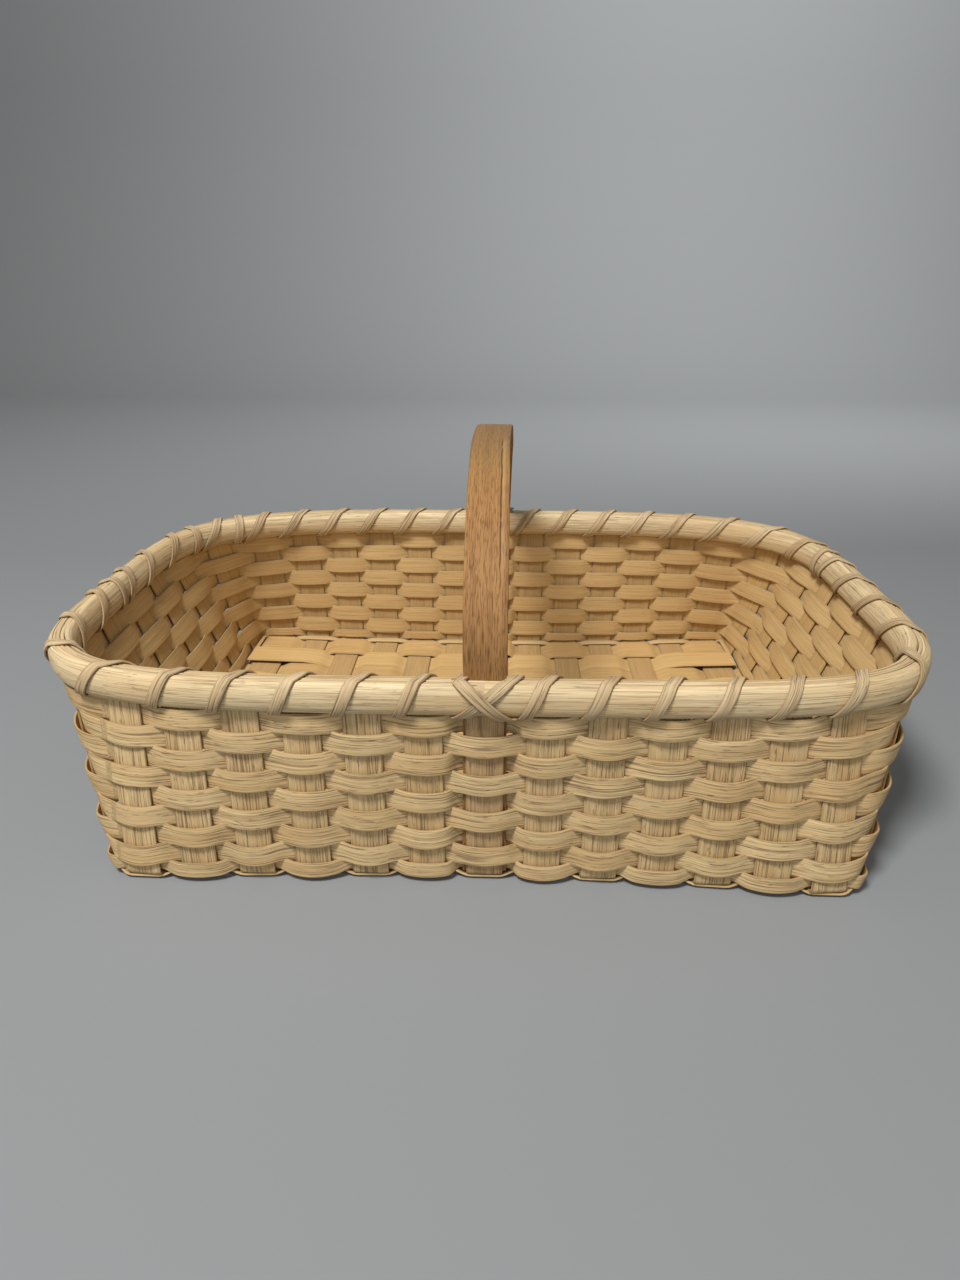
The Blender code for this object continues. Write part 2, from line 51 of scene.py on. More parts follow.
CROSS_LAST, LONG_LAST = 6, 3                # stakes are numbered from the middle one of their kind, which is 0
CROSS_PITCH, LONG_PITCH, LONG_PITCH_TOP = 0.0250, 0.0349, 0.0296
FLOOR = REED + CLEAR + REED / 2             # height of the middle of the cross stakes on the floor
BEND = 0.0030
WALL_FOOT = FLOOR + BEND
RIM_LOW, RIM_HIGH = 0.0842, 0.0982
END_ROOM, SIDE_ROOM = 0.0070, 0.0073        # from the outermost stakes' edges to the walls
FOOT_HALF = np.array([CROSS_LAST * CROSS_PITCH + STAKE_WIDTH / 2 + END_ROOM,
                      LONG_LAST * LONG_PITCH + STAKE_WIDTH / 2 + SIDE_ROOM])
FLARE = np.array([0.0282, -0.0022])         # how far the rim stands out past the foot, in length and width
SQUARE_FOOT, SQUARE_FRONT, SQUARE_BACK = 26.0, 5.2, 4.0     # powers of the outline, squarer where higher
BOW_LEFT, BOW_RIGHT = 0.0060, 0.0095        # the floor's corners stand out, where the handle draws in the middle
PINCH = 0.10                                # makes the right end a little shorter than the left
SEARCH = 0.05               # how far a point of the wall is looked for
SLOPE_SPAN = 0.003          # the wall's slope is taken this far below and above a point


def share_up(z):
    """0 on the floor, 1 at the rim's lower edge."""
    return max(0.0, (z - FLOOR) / (RIM_LOW - FLOOR))


def settled(point):
    """A point of the even basket, moved to where it lies in this one."""
    x, y, z = point
    x -= PINCH * max(x, 0) ** 2
    bow = BOW_LEFT if x < 0 else BOW_RIGHT
    out = bow * (x / FOOT_HALF[0]) ** 2 * max(0.0, 1 - share_up(z))
    return np.array([x, y * (1 + out / FOOT_HALF[1]), z])


def wall_outline(z, y=-1.0):
    """Half length, half width and squareness at a height. The back corners of the rim are rounder."""
    half = FOOT_HALF + FLARE * share_up(z)
    rim = SQUARE_FRONT if y < 0 else SQUARE_BACK
    return half[0], half[1], 1 / (1 / SQUARE_FOOT + (1 / rim - 1 / SQUARE_FOOT) * share_up(z))


def edge_point(value, half, other, power):
    """The outline's coordinate on one axis, from the value on the other."""
    return other * max(0.0, 1 - abs(value / half) ** power) ** (1 / power)


def outward(x, y, z):
    """The level direction square to the outline near a point."""
    a, b, power = wall_outline(z, y)
    slope = np.array([np.sign(x) * abs(x / a) ** (power - 1) / a,
                      np.sign(y) * abs(y / b) ** (power - 1) / b, 0])
    return slope / np.linalg.norm(slope)


def wall_point(x, y, z, level):
    """The wall's point at height z, found along a level direction from (x, y)."""
    low, high = -SEARCH, SEARCH
    a, b, power = wall_outline(z, y)
    for _ in range(36):
        middle = (low + high) / 2
        px, py = x + level[0] * middle, y + level[1] * middle
        if abs(px / a) ** power + abs(py / b) ** power < 1:
            low = middle
        else:
            high = middle
    return np.array([x + level[0] * low, y + level[1] * low, z])


def stand(x, y, z):
    """Centre, outward, upward and sideways directions of the wall round a point."""
    level = outward(x, y, z)
    low, high = wall_point(x, y, z - SLOPE_SPAN, level), wall_point(x, y, z + SLOPE_SPAN, level)
    up = (high - low) / np.linalg.norm(high - low)
    aside = np.cross([0, 0, 1.0], level)
    return (low + high) / 2, np.cross(aside, up), up, aside


def stake_place(kind, index, side, z):
    """Where cross stake or long stake number index, counted from the middle, stands at a height."""
    if kind == "cross":
        a, b, power = wall_outline(z, side)
        x = index * CROSS_PITCH
        return x, side * edge_point(x, a, b, power)
    a, b, power = wall_outline(z, index)
    y = index * (LONG_PITCH + (LONG_PITCH_TOP - LONG_PITCH) * share_up(z))
    return side * edge_point(y, b, a, power), y


def up_the_wall(kind, index, side, top):
    """Spine rows (point, outward, sideways) of a stake from the start of its bend to its top."""
    rows = []
    x, y = stake_place(kind, index, side, WALL_FOOT)
    level = outward(x, y, WALL_FOOT)
    aside = np.cross([0, 0, 1.0], level)
    for angle in np.radians(np.linspace(4, 84, 9)):
        point = np.array([x, y, FLOOR + BEND * (1 - math.cos(angle))]) - level * BEND * (1 - math.sin(angle))
        rows.append((point, level * math.sin(angle) - np.array([0, 0, math.cos(angle)]), aside))
    for z in np.linspace(WALL_FOOT + 0.0004, top, 34):
        centre, out, _, aside = stand(*stake_place(kind, index, side, z), z)
        rows.append((centre, out, aside))
    return rows


class Wire:
    """One socket of a node tree, so that sums on it are written as plain Python."""

    def __init__(self, tree, socket=None):
        self.tree, self.socket = tree, socket

    def node(self, kind, feeds=None, out=0, **settings):
        """Adds a node, sets its settings, then feeds its sockets."""
        made = self.tree.nodes.new(kind)
        for name, value in settings.items():
            setattr(made, name, value)
        for name, value in (feeds or {}).items():
            if isinstance(value, Wire):
                self.tree.links.new(value.socket, made.inputs[name])
            else:
                made.inputs[name].default_value = value
        return Wire(self.tree, made.outputs[out])

    def sum(self, operation, *others):
        return self.node("ShaderNodeMath", dict(enumerate((self, *others))), operation=operation)

    def __add__(self, other): return self.sum("ADD", other)
    def __radd__(self, other): return self.sum("ADD", other)
    def __sub__(self, other): return self.sum("SUBTRACT", other)
    def __rsub__(self, other): return (self * -1) + other
    def __mul__(self, other): return self.sum("MULTIPLY", other)
    def __rmul__(self, other): return self.sum("MULTIPLY", other)
    def __truediv__(self, other): return self.sum("DIVIDE", other)
    def __pow__(self, other): return self.sum("POWER", other)
    def __abs__(self): return self.sum("ABSOLUTE")

    def between(self, low, high):
        """0 below low, 1 above high, and a smooth step from one to the other."""
        return self.node("ShaderNodeMapRange", {"Value": self, "From Min": low, "From Max": high},
                         interpolation_type="SMOOTHSTEP")

    def stretched(self, x, y, z):
        return self.node("ShaderNodeVectorMath", {0: self, 1: (x, y, z)}, operation="MULTIPLY")

    def noise(self, detail=2.0, rough=0.5, seed=0.0):
        return self.node("ShaderNodeTexNoise", {"Vector": self, "W": seed, "Scale": 1.0, "Detail": detail,
                                                "Roughness": rough}, noise_dimensions="4D")

    def blend(self, first, second):
        """first where this is 0, second where it is 1. Both are colours."""
        pair = {name: (*value, 1) if isinstance(value, tuple) else value
                for name, value in ((6, first), (7, second))}
        return self.node("ShaderNodeMix", {0: self, **pair}, out=2, data_type="RGBA")


def strip_tree():
    """Sweeps a rounded section along a spine. The spine's points carry the way they face and lie."""
    tree = bpy.data.node_groups.new("Reed strip", "GeometryNodeTree")
    for name, kind, value in (("Spine", "NodeSocketGeometry", None), ("Width", "NodeSocketFloat", STAKE_WIDTH),
                              ("Front", "NodeSocketFloat", REED / 2), ("Back", "NodeSocketFloat", REED / 2),
                              ("Squareness", "NodeSocketFloat", 5.0), ("Section points", "NodeSocketInt", 16),
                              ("Finish", "NodeSocketMaterial", None)):
        socket = tree.interface.new_socket(name, in_out="INPUT", socket_type=kind)
        if value is not None:
            socket.default_value = value
    tree.interface.new_socket("Strip", in_out="OUTPUT", socket_type="NodeSocketGeometry")
    start = tree.nodes.new("NodeGroupInput")
    given = {socket.name: Wire(tree, socket) for socket in start.outputs if socket.name}
    new = Wire(tree).node

    def stored(name, kind):
        return new("GeometryNodeInputNamedAttribute", {"Name": name}, data_type=kind)

    # The section: across runs along its width, depth along its thickness.
    turn = new("GeometryNodeInputIndex") / given["Section points"] * math.tau
    across_turn, depth_turn = turn.sum("COSINE"), turn.sum("SINE")
    blunt = given["Squareness"] ** -1 * 2
    across = across_turn.sum("SIGN") * (abs(across_turn) ** blunt)
    depth = abs(depth_turn) ** blunt
    front = depth_turn.sum("GREATER_THAN", 0.0)
    depth = depth * (front * given["Front"] - (1 - front) * given["Back"])
    circle = new("GeometryNodeCurvePrimitiveCircle", {"Resolution": given["Section points"]}, mode="RADIUS")
    place = new("ShaderNodeCombineXYZ", {"X": depth, "Y": across * given["Width"] * 0.5})
    section = new("GeometryNodeSetPosition", {"Geometry": circle, "Position": place})
    section = new("GeometryNodeStoreNamedAttribute", {"Geometry": section, "Name": "over",
                                                      "Value": across * given["Width"] * 0.5},
                  data_type="FLOAT", domain="POINT")
    section = new("GeometryNodeStoreNamedAttribute", {"Geometry": section, "Name": "side",
                                                      "Value": front * 2 - 1},
                  data_type="FLOAT", domain="POINT")

    curve = new("GeometryNodeMeshToCurve", {"Mesh": given["Spine"]})
    curve = new("GeometryNodeSetCurveNormal", {"Curve": curve, "Normal": stored("facing", "FLOAT_VECTOR")},
                mode="FREE")
    curve = new("GeometryNodeStoreNamedAttribute", {"Geometry": curve, "Name": "spine",
                                                    "Value": new("GeometryNodeInputPosition")},
                data_type="FLOAT_VECTOR", domain="POINT")
    strip = new("GeometryNodeCurveToMesh", {"Curve": curve, "Profile Curve": section, "Fill Caps": True})

    # The strip narrows, spreads and thins along its length.
    aside, facing = stored("aside", "FLOAT_VECTOR"), stored("facing", "FLOAT_VECTOR")
    offset = new("ShaderNodeVectorMath", {0: new("GeometryNodeInputPosition"),
                                          1: stored("spine", "FLOAT_VECTOR")}, operation="SUBTRACT")
    wide = new("ShaderNodeVectorMath", {0: offset, 1: aside}, out=1, operation="DOT_PRODUCT")
    deep = new("ShaderNodeVectorMath", {0: offset, 1: facing}, out=1, operation="DOT_PRODUCT")
    wider = new("ShaderNodeVectorMath", {0: aside, "Scale": wide * (stored("spread", "FLOAT") - 1)},
                operation="SCALE")
    deeper = new("ShaderNodeVectorMath", {0: facing, "Scale": deep * (stored("swell", "FLOAT") - 1)},
                 operation="SCALE")
    moved = new("ShaderNodeVectorMath", {0: wider, 1: deeper}, operation="ADD")
    strip = new("GeometryNodeSetPosition", {"Geometry": strip, "Offset": moved})
    strip = new("GeometryNodeRealizeInstances", {"Geometry": strip})
    strip = new("GeometryNodeSetMaterial", {"Geometry": strip, "Material": given["Finish"]})
    tree.links.new(strip.socket, tree.nodes.new("NodeGroupOutput").inputs[0])
    return tree


reed_strip = strip_tree()


def swept(name, spines, finish, width, front, back, squareness=5.0, points=16, closed=False, crease=40,
          strand=0):
    """One mesh piece swept along its spines. A spine is rows of (point, facing, aside, spread, swell)."""
    places, edges = [], []
    values = {key: [] for key in ("facing", "aside", "spread", "swell", "run", "strand")}
    for number, spine in enumerate(spines):
        base, run = len(places), 0.0
        for step, row in enumerate(spine):
            point, facing, aside, spread, swell = (*row, 1.0, 1.0)[:5]
            point = settled(point)
            if step:
                run += float(np.linalg.norm(point - places[-1]))
                edges.append((base + step - 1, base + step))
            places.append(point)
            facing = np.asarray(facing) / np.linalg.norm(facing)
            aside = np.asarray(aside) - facing * np.dot(aside, facing)
            for key, value in (("facing", facing), ("aside", aside / np.linalg.norm(aside)), ("spread", spread),
                               ("swell", swell), ("run", run), ("strand", strand + number)):
                values[key].append(value)
        if closed:
            edges.append((len(places) - 1, base))
    mesh = bpy.data.meshes.new(name)
    mesh.from_pydata([tuple(p) for p in places], edges, [])
    for key, rows in values.items():
        vector = key in ("facing", "aside")
        layer = mesh.attributes.new(key, "FLOAT_VECTOR" if vector else "FLOAT", "POINT")
        layer.data.foreach_set("vector" if vector else "value", np.array(rows, np.float32).ravel())
    guide = bpy.data.objects.new(name + "_spine", mesh)
    bpy.context.scene.collection.objects.link(guide)
    modifier = guide.modifiers.new("Reed strip", "NODES")
    modifier.node_group = reed_strip
    given = {"Width": width, "Front": front, "Back": back, "Squareness": squareness, "Section points": points,
             "Finish": finish}
    for socket in reed_strip.interface.items_tree:
        if socket.in_out == "INPUT" and socket.name in given:
            modifier[socket.identifier] = given[socket.name]
    graph = bpy.context.evaluated_depsgraph_get()
    made = bpy.data.meshes.new_from_object(guide.evaluated_get(graph), preserve_all_data_layers=True,
                                           depsgraph=graph)
    made.name = name
    bpy.data.objects.remove(guide, do_unlink=True)
    for key in ("spine", "facing", "aside", "spread", "swell"):
        if key in made.attributes:
            made.attributes.remove(made.attributes[key])
    made.shade_smooth()
    made.set_sharp_from_angle(angle=math.radians(crease))
    piece = bpy.data.objects.new(name, made)
    bpy.context.scene.collection.objects.link(piece)
    return piece


def reed_finish(name, pale, deep, hair, edge_width, dark_share=0.5, rough=0.62, seed=0.0, coarse=1.0,
                inside_shade_tint=(0.90, 0.84, 0.72)):
    """Split reed: pale and deep fibres with broken brown hairlines along them, rougher on its outer face.

    The hair colour also darkens the edges of a strip that is edge_width wide. The inside tint is painted shade:
    it darkens and warms the fibres on the face that looks into the basket, where they show few hairlines.
    """
    finish = bpy.data.materials.new(name)
    finish.use_nodes = True
    tree = finish.node_tree
    shader = tree.nodes["Principled BSDF"]
    new = Wire(tree).node
    over = new("ShaderNodeAttribute", out="Fac", attribute_name="over")
    run = new("ShaderNodeAttribute", out="Fac", attribute_name="run")
    strand = new("ShaderNodeAttribute", out="Fac", attribute_name="strand")
    side = new("ShaderNodeAttribute", out="Fac", attribute_name="side")
    lie = new("ShaderNodeCombineXYZ", {"X": over, "Y": run, "Z": strand + side * 0.25})
    inside = side.between(0.5, -0.5)
    fine = lie.stretched(2000 / coarse, 30, 9.1).noise(2.0, 0.6, seed + 1)
    cords = lie.stretched(900 / coarse, 13, 5.7).noise(2.0, 0.5, seed + 2)
    hairs = lie.stretched(2200 / coarse, 36, 11.3).noise(2.0, 0.55, seed + 3)
    specks = lie.stretched(1400 / coarse, 170, 8.3).noise(1.0, 0.5, seed + 6)
    tone = lie.stretched(70, 12, 4.3).noise(2.0, 0.5, seed + 4)
    patch = lie.stretched(120, 40, 3.1).noise(2.0, 0.6, seed + 5)
    strength = dark_share * (1 - inside * 0.6)
    hairline = hairs.between(0.53, 0.61) * patch.between(0.24, 0.54) * strength * 0.85
    speck = specks.between(0.60, 0.68) * patch.between(0.66, 0.44) * strength * 0.6
    edge = abs(over).between(edge_width * 0.40, edge_width * 0.52)
    streak = fine.between(0.38, 0.62) * 0.5 + cords.between(0.38, 0.62) * 0.5
    # Painted shade: the fibres on the face that looks into the basket take a darker, warmer tint.
    shaded_pale, shaded_deep = (tuple(c * f for c, f in zip(colour, inside_shade_tint)) for colour in (pale, deep))
    body = inside.blend(streak.blend(deep, pale), (streak * 0.6 + 0.4).blend(shaded_deep, shaded_pale))
    weathered = tuple(c * f for c, f in zip(deep, (1.10, 0.98, 0.82)))
    body = (tone.between(0.40, 0.66) * (0.5 - inside * 0.25)).blend(body, weathered)
    body = (edge * 0.35).blend(body, hair)
    body = (hairline + speck).between(0.0, 1.0).blend(body, hair)
    tree.links.new(body.socket, shader.inputs["Base Color"])
    gloss = rough + (1 - fine) * 0.22 + hairline * 0.1
    tree.links.new(gloss.socket, shader.inputs["Roughness"])
    height = fine * 0.45 + cords * 0.75 - hairline * 0.6 - speck * 0.4
    bump = new("ShaderNodeBump", {"Height": height, "Strength": 0.75, "Distance": 0.0003})
    tree.links.new(bump.socket, shader.inputs["Normal"])
    shader.inputs["Specular IOR Level"].default_value = 0.3
    return finish


# The last tint of each finish is painted shade on its face that looks into the basket.
stake_reed = reed_finish("Cross stake reed", (0.64, 0.465, 0.235), (0.46, 0.32, 0.155), (0.23, 0.145, 0.07),
                         STAKE_WIDTH, dark_share=0.9, seed=10, coarse=1.1, inside_shade_tint=(0.76, 0.68, 0.57))
middle_reed = reed_finish("Middle stake reed", (0.52, 0.350, 0.175), (0.37, 0.240, 0.115), (0.20, 0.12, 0.06),
                          STAKE_WIDTH, dark_share=0.9, seed=10, coarse=1.1, inside_shade_tint=(0.90, 0.85, 0.75))
STAKE_TUCK = 0.0039         # the stakes' tops lie this far below the top of the rim
STAKE_TOP = RIM_HIGH - STAKE_TUCK
OUTER_SHIFT, OUTER_SPREAD = 0.0014, 1.25    # the outer two spread out towards the end walls


def turned(rows):
    """The far wall's rows, with their sideways direction turned to match the near wall's."""
    return [(point, facing, -aside) for point, facing, aside in rows]


for number, k in enumerate(range(-CROSS_LAST, CROSS_LAST + 1), start=1):
    front, back = up_the_wall("cross", k, -1, STAKE_TOP), up_the_wall("cross", k, 1, STAKE_TOP)
    ends = front[0][0][1], back[0][0][1]
    shift, spread = (math.copysign(OUTER_SHIFT, k), OUTER_SPREAD) if abs(k) == CROSS_LAST else (0, 1)
    floor = [(np.array([k * CROSS_PITCH + shift, y, FLOOR]), np.array([0, 0, -1.0]), np.array([1.0, 0, 0]),
              spread) for y in np.linspace(*ends, 60)[2:-2]]
    piece = swept(f"Cross_stake_{number:02d}", [front[::-1] + floor + turned(back)],
                  stake_reed if k else middle_reed, STAKE_WIDTH, REED / 2, REED / 2, strand=3 * number)
    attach(piece, "root")
    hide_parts(f"cross_stake_{number:02d}")

# Long stakes
# Seven flat strips that run left to right. Each is woven over and under the cross stakes along the floor,
# crosses the foot of the handle on the middle stake, and is bent up both end walls.
long_reed = reed_finish("Long stake reed", (0.62, 0.435, 0.205), (0.41, 0.265, 0.115), (0.14, 0.075, 0.035),
                        STAKE_WIDTH, dark_share=0.75, seed=20, inside_shade_tint=(0.98, 0.92, 0.80))
OVERRUN = 0.0002            # a strip stays level this far past the edges of the strip it crosses
FLOOR_SPREAD = 1.15         # strips lie wider on the floor than in the walls
EDGE_SHIFT, EDGE_SPREAD = 0.0012, 1.50      # the outer two spread out towards the long walls
SPINE_STEP = 0.0016
HANDLE_WIDTH, HANDLE_SHAVED = 0.0193, 0.0016
LEG_FACE = REED / 2 + CLEAR                 # from a stake's middle to the handle's near and far faces
LEG_BACK = LEG_FACE + HANDLE_SHAVED


def along_the_floor(y, phase, first, last, spread, lift=0.0):
    """Spine rows of a strip over and under the cross stakes: over where number plus phase is even."""
    stops = []
    for k in range(-CROSS_LAST, CROSS_LAST + 1):
        over = (k + phase) % 2 == 0
        half, height = STAKE_WIDTH / 2 + OVERRUN, FLOOR - REED - CLEAR / 2
        if over:
            height = FLOOR + REED + CLEAR / 2 + lift
            if k == 0:
                half, height = HANDLE_WIDTH / 2 + OVERRUN, height + LEG_BACK - REED / 2
        stops += [(k * CROSS_PITCH - half, height), (k * CROSS_PITCH + half, height)]
    knots, levels = zip(*stops)
    rows = []
    for x in np.arange(first, last + 1e-6, SPINE_STEP):
        place = min(max(np.searchsorted(knots, x) - 1, 0), len(knots) - 2)
        t = min(max((x - knots[place]) / (knots[place + 1] - knots[place]), 0), 1)
        rows.append((x, levels[place] + (levels[place + 1] - levels[place]) * t * t * (3 - 2 * t)))
    spine = []
    for (x0, z0), (x, z), (x1, z1) in zip([rows[0]] + rows, rows, rows[1:] + [rows[-1]]):
        run = np.array([x1 - x0, 0, z1 - z0])
        spine.append((np.array([x, y, z]), np.array([run[2], 0, -run[0]]), np.array([0, -1.0, 0]), spread))
    return spine


for number, j in enumerate(range(-LONG_LAST, LONG_LAST + 1), start=1):
    left, right = up_the_wall("long", j, -1, STAKE_TOP), up_the_wall("long", j, 1, STAKE_TOP)
    reach = CROSS_LAST * CROSS_PITCH + STAKE_WIDTH / 2 + OVERRUN
    y, spread = j * LONG_PITCH, FLOOR_SPREAD
    if abs(j) == LONG_LAST:
        y, spread = y + math.copysign(EDGE_SHIFT, j), EDGE_SPREAD
    floor = along_the_floor(y, LONG_LAST - j, -reach, reach, spread)
    piece = swept(f"Long_stake_{number}", [left[::-1] + floor + turned(right)], long_reed,
                  STAKE_WIDTH, REED / 2, REED / 2, strand=3 * number)
    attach(piece, "root")
    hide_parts(f"long_stake_{number}")

# Floor fillers
# Six short strips woven between the long stakes, so that no gap is left in the floor. They end at the
# outermost cross stakes, under the first row of the wall.
FILLER_WIDTH, FILLER_REACH, FILLER_LIFT = 0.0180, 0.0055, 0.00025
FLOAT = 0.0016
LOOSE = {1: 1, 2: 2}        # the ends of the two at the back float over their last one and two cross stakes
filler_reed = reed_finish("Floor filler reed", (0.64, 0.45, 0.21), (0.43, 0.275, 0.115), (0.15, 0.08, 0.035),
                          FILLER_WIDTH, dark_share=0.6, seed=40, inside_shade_tint=(1.02, 0.98, 0.88))


def floating(spine, over_last):
    """Lifts a filler's ends, which lie loose over their last cross stakes."""
    lifted = []
    start = (CROSS_LAST - over_last + 0.5) * CROSS_PITCH
    for point, facing, aside, spread in spine:
        along = abs(point[0]) - start
        share = min(max(along / (CROSS_PITCH * 0.6), 0), 1)
        share = share * share * (3 - 2 * share)
        level = FLOOR + REED + CLEAR + FLOAT
        raised = point + np.array([0, 0, (level - point[2]) * share])
        lifted.append((raised, aside, spread))
    rows = []
    for place, (point, aside, spread) in enumerate(lifted):
        run = lifted[min(place + 1, len(lifted) - 1)][0] - lifted[max(place - 1, 0)][0]
        rows.append((point, np.array([run[2], 0, -run[0]]), aside, spread))
    return rows


for number, j in enumerate(range(-LONG_LAST, LONG_LAST), start=1):
    reach = CROSS_LAST * CROSS_PITCH + STAKE_WIDTH / 2 + FILLER_REACH
    spine = along_the_floor((j + 0.5) * LONG_PITCH, LONG_LAST - j, -reach, reach, FLOOR_SPREAD, FILLER_LIFT)
    if j in LOOSE:
        spine = floating(spine, LOOSE[j])
    piece = swept(f"Floor_filler_{number}", [spine], filler_reed, FILLER_WIDTH, REED / 2, REED / 2,
                  strand=3 * number)
    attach(piece, "root")
    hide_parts(f"floor_filler_{number}")

# Handle
# One hoop of oak, steamed and bent. It is shaved thin where it crosses the floor on the middle stake and
# goes up inside both long walls, and it is full above the rim, with its edges rounded by hand.
HANDLE_TOP, GRIP_WIDTH, GRIP_THICK = 0.1728, 0.0182, 0.0055
LEG_WIDTH = 0.0175          # where the hoop comes out of the rim
TWIST = 0.0013              # the back leg stands a little to the right of the front one
SHOULDER, SPRING = 0.0016, 0.0010           # above the rim: where the shaved part ends, where the bow starts
HOOP_MIDDLE = 0.09          # height of a point well inside the hoop
BOW_STEPS = 60


def oak_finish():
    """Stained oak: warm red brown, with long grain bands, open pores along the grain and a crack."""
    finish = bpy.data.materials.new("Stained oak")
    finish.use_nodes = True
    tree = finish.node_tree
    shader = tree.nodes["Principled BSDF"]
    new = Wire(tree).node
    over = new("ShaderNodeAttribute", out="Fac", attribute_name="over")
    run = new("ShaderNodeAttribute", out="Fac", attribute_name="run")
    lie = new("ShaderNodeCombineXYZ", {"X": over, "Y": run})
    bands = lie.stretched(420, 7, 1).noise(3.0, 0.55, 1.0)
    grain = lie.stretched(1250, 34, 1).noise(3.0, 0.6, 2.0)
    pores = lie.stretched(1900, 150, 1).noise(2.0, 0.5, 3.0)
    stain = lie.stretched(60, 18, 1).noise(2.0, 0.5, 4.0)
    low = run.between(0.330, 0.270)
    pore = pores.between(0.50, 0.64) * (low * 0.35 + 0.35)
    body = (bands.between(0.35, 0.65) * 0.5 + grain.between(0.36, 0.64) * 0.5).blend((0.180, 0.081, 0.025),
                                                                                  (0.35, 0.182, 0.060))
    body = (stain.between(0.4, 0.7) * 0.35).blend(body, (0.34, 0.190, 0.064))
    body = (low * 0.3).blend(body, (0.31, 0.150, 0.052))
    # Painted shade: the hoop is darker round its top.
    body = (run.between(0.300, 0.345) * run.between(0.420, 0.375) * 0.5).blend(body, (0.185, 0.120, 0.054))
    body = pore.blend(body, (0.105, 0.046, 0.016))
    # A crack runs down the right of the hoop, with a paler strip beside it.
    wander = lie.stretched(0, 60, 1).noise(2.0, 0.5, 5.0) * 0.0016
    beside = over - wander - 0.0049
    along = run.between(0.250, 0.262) * run.between(0.350, 0.340)
    body = (beside.between(0.0002, 0.0006) * beside.between(0.0026, 0.0018) * along * (grain * 0.6)).blend(
        body, (0.46, 0.30, 0.135))
    crack = abs(beside).between(0.00036, 0.00012) * along * pores.between(0.36, 0.46)
    body = (crack * 0.85).blend(body, (0.05, 0.022, 0.012))
    tree.links.new(body.socket, shader.inputs["Base Color"])
    tree.links.new((0.58 + grain * 0.16 + pore * 0.2).socket, shader.inputs["Roughness"])
    shader.inputs["Specular IOR Level"].default_value = 0.25
    bump = new("ShaderNodeBump", {"Height": grain * 0.4 + bands * 0.3 - pore * 0.8 - crack * 1.5,
                                  "Strength": 0.6, "Distance": 0.00025})
    tree.links.new(bump.socket, shader.inputs["Normal"])
    return finish


def hoop_half():
    """Rows (y, z, thickness, width) of the hoop's outer face from the middle of the floor to the top."""
    sole, radius = FLOOR + LEG_FACE, BEND - LEG_FACE
    wall = wall_outline(WALL_FOOT)[1] - LEG_FACE
    rows = [(-y, sole, HANDLE_SHAVED, HANDLE_WIDTH) for y in np.linspace(0, wall - radius, 50)]
    for angle in np.radians([15, 30, 45, 60, 75, 90]):
        rows.append((-(wall - radius + radius * math.sin(angle)), sole + radius * (1 - math.cos(angle)),
                     HANDLE_SHAVED, HANDLE_WIDTH))
    for z in np.linspace(WALL_FOOT + 0.002, RIM_HIGH + SHOULDER, 36):
        rows.append((-(wall_outline(z)[1] - LEG_FACE), z, HANDLE_SHAVED,
                     HANDLE_WIDTH + (LEG_WIDTH - HANDLE_WIDTH) * share_up(z)))
    spring = RIM_HIGH + SPRING + GRIP_THICK
    half, rise = wall_outline(RIM_HIGH)[1] - LEG_FACE, HANDLE_TOP - RIM_HIGH - SPRING - GRIP_THICK
    for step, angle in enumerate(np.radians(np.linspace(0, 90, BOW_STEPS))):
        rows.append((-half * math.cos(angle), spring + rise * math.sin(angle), GRIP_THICK,
                     LEG_WIDTH + (GRIP_WIDTH - LEG_WIDTH) * min(1.0, 0.2 + step / (BOW_STEPS - 1))))
    return rows


half = hoop_half()
outline = half[:-1] + [(-y, z, thick, wide) for y, z, thick, wide in half[:0:-1]]
spine = []
for place, (y, z, thick, wide) in enumerate(outline):
    before, after = outline[place - 1], outline[(place + 1) % len(outline)]
    run = np.array([0, after[0] - before[0], after[1] - before[1]])
    facing = np.cross([1.0, 0, 0], run)
    facing /= np.linalg.norm(facing)
    inward = facing if facing[2] * (HOOP_MIDDLE - z) + facing[1] * -y > 0 else -facing
    behind = min(max((y + 0.02) / 0.10, 0.0), 1.0)      # 0 at the front leg, 1 at the back one
    centre = np.array([TWIST * behind * share_up(z), y, z]) + inward * thick / 2
    spine.append((centre, -inward, np.array([1.0, 0, 0]), wide / HANDLE_WIDTH, thick / GRIP_THICK))
piece = swept("Handle_hoop", [spine], oak_finish(), HANDLE_WIDTH, GRIP_THICK / 2, GRIP_THICK / 2,
              squareness=11.0, points=32, closed=True)
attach(piece, "root")
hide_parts("handle")

# Wall rows
# Nine rows of flat oval reed, woven out and in round all forty stakes. They are pushed down on each other,
# from the bend of the floor up to the rim, and a strip swells a little where it passes over a stake.
row_reed = reed_finish("Wall row reed", (0.73, 0.535, 0.275), (0.47, 0.325, 0.155), (0.22, 0.135, 0.07),
                       edge_width=0.0086, dark_share=0.85, seed=60, inside_shade_tint=(0.86, 0.80, 0.69))
ROWS = 9
ROW_WIDTH, ROW_THICK, ROW_PITCH = 0.0088, 0.0011, 0.00915
ROW_FRONT, ROW_BACK = ROW_THICK * 0.58, ROW_THICK * 0.42
LOWEST_EDGE, LOWEST_OUTSIDE, LOWEST_INSIDE = 0.0009, 0.0029, WALL_FOOT - CLEAR / 2
LAP_OUTSIDE, LAP_INSIDE = 0.0004, 0.0009    # how far a strip presses over the edges of its neighbours
WEAVE = REED / 2 + CLEAR + ROW_THICK / 2
ARCH, SAG = (0.0007, 0.0014), (-0.0001, 0.0003)     # ranges of a strip's bulge and droop over a stake
FOOT_SAG = 0.0006           # added at the foot of the wall, less further up
INSIDE_ARCH, INSIDE_SAG = 0.5, -0.6         # shares of both inside the stakes
SWELL_OVER, SWELL_BETWEEN = 0.03, 0.04      # widening on a stake, and between two
hand = np.random.default_rng(11)


